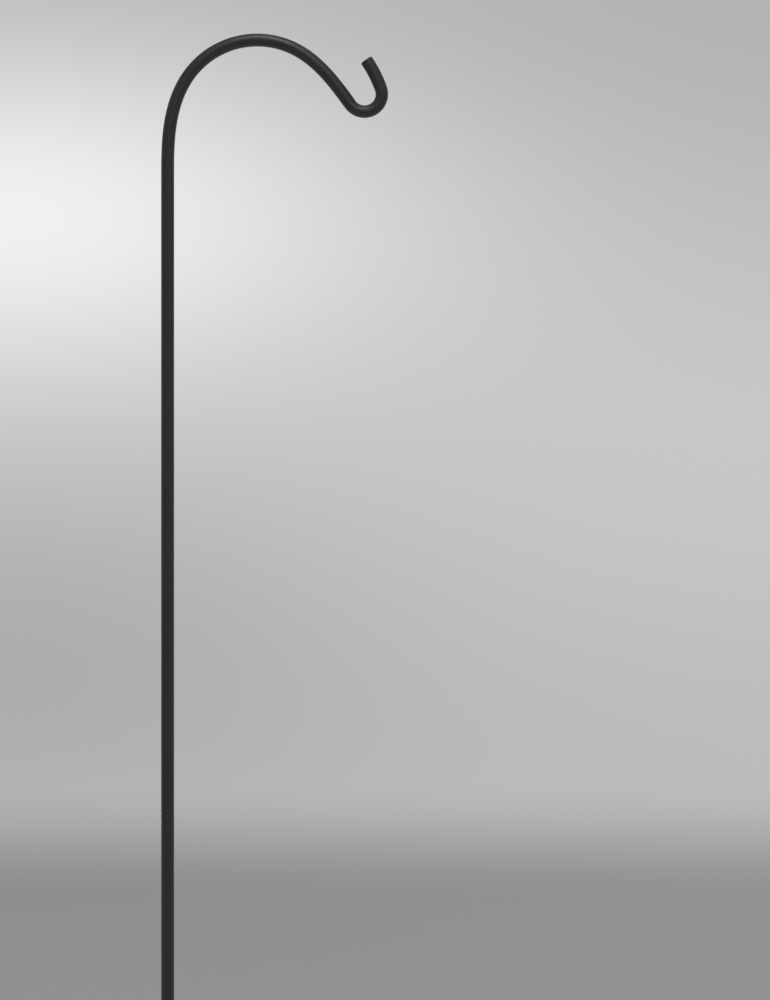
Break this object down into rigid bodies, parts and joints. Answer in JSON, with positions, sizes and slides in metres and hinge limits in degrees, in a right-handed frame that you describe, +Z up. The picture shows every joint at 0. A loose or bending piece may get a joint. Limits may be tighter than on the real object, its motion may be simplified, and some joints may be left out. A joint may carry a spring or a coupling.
{
  "type": "shepherds hook",
  "caption": "Black steel garden pole with an arched crook and curled tip for hanging things, screwed together in sections on a pronged ground base.",
  "frame": {"origin": "on the pole's axis at the ground line, in the plane of the hub's flat underside", "axes": "+Z up along the pole, +X from the pole towards the hook's reach, +Y away from a viewer who sees the hook point right"},
  "size_m": [0.2955, 0.1598, 2.1346],
  "materials": {
    "crook_coat": "satin black powder coat",
    "pole_coat": "satin black powder coat",
    "base_coat": "black powder coat, rubbed by soil at the points",
    "weld_coat": "black powder coat over a rippled bead",
    "zinc_plate": "bright zinc plate",
    "insert_steel": "machined steel"
  },
  "bodies": {
    "base": {"base_hub": "base_coat", "centre_spike": "base_coat", "spike_weld": "weld_coat", "prong_right": "base_coat", "prong_back": "base_coat", "prong_left": "base_coat", "prong_front": "base_coat", "prong_right_weld": "weld_coat", "prong_back_weld": "weld_coat", "prong_left_weld": "weld_coat", "prong_front_weld": "weld_coat"},
    "lower_screw_stud": {"lower_stud": "zinc_plate"},
    "lower_section": {"lower_tube": "pole_coat", "lower_top_insert": "insert_steel", "lower_bottom_plug": "insert_steel"},
    "middle_screw_stud": {"middle_stud": "zinc_plate"},
    "middle_section": {"middle_tube": "pole_coat", "middle_top_insert": "insert_steel", "middle_bottom_plug": "insert_steel"},
    "crook_screw_stud": {"crook_stud": "zinc_plate"},
    "crook": {"crook_rod": "crook_coat"}
  },
  "joints": [
    {"name": "lower_advance", "type": "slide", "parent": "base", "child": "lower_screw_stud", "axis": [0, 0, 1], "range_m": [0, 0.01206]},
    {"name": "lower_screw", "type": "hinge", "parent": "lower_screw_stud", "child": "lower_section", "pos_m": [0, 0, 0.0323], "axis": [0, 0, 1], "range_deg": [0, 3421]},
    {"name": "middle_advance", "type": "slide", "parent": "lower_section", "child": "middle_screw_stud", "axis": [0, 0, 1], "range_m": [0, 0.01206]},
    {"name": "middle_screw", "type": "hinge", "parent": "middle_screw_stud", "child": "middle_section", "pos_m": [0, 0, 0.5881], "axis": [0, 0, 1], "range_deg": [0, 3421]},
    {"name": "crook_advance", "type": "slide", "parent": "middle_section", "child": "crook_screw_stud", "axis": [0, 0, 1], "range_m": [0, 0.01206]},
    {"name": "crook_screw", "type": "hinge", "parent": "crook_screw_stud", "child": "crook", "pos_m": [0, 0, 1.1439], "axis": [0, 0, 1], "range_deg": [0, 3421]}
  ],
  "couplings": [
    {"joint": "lower_screw", "follows": "lower_advance", "rad_per_m": 4947.4},
    {"joint": "middle_screw", "follows": "middle_advance", "rad_per_m": 4947.4},
    {"joint": "crook_screw", "follows": "crook_advance", "rad_per_m": 4947.4}
  ]
}
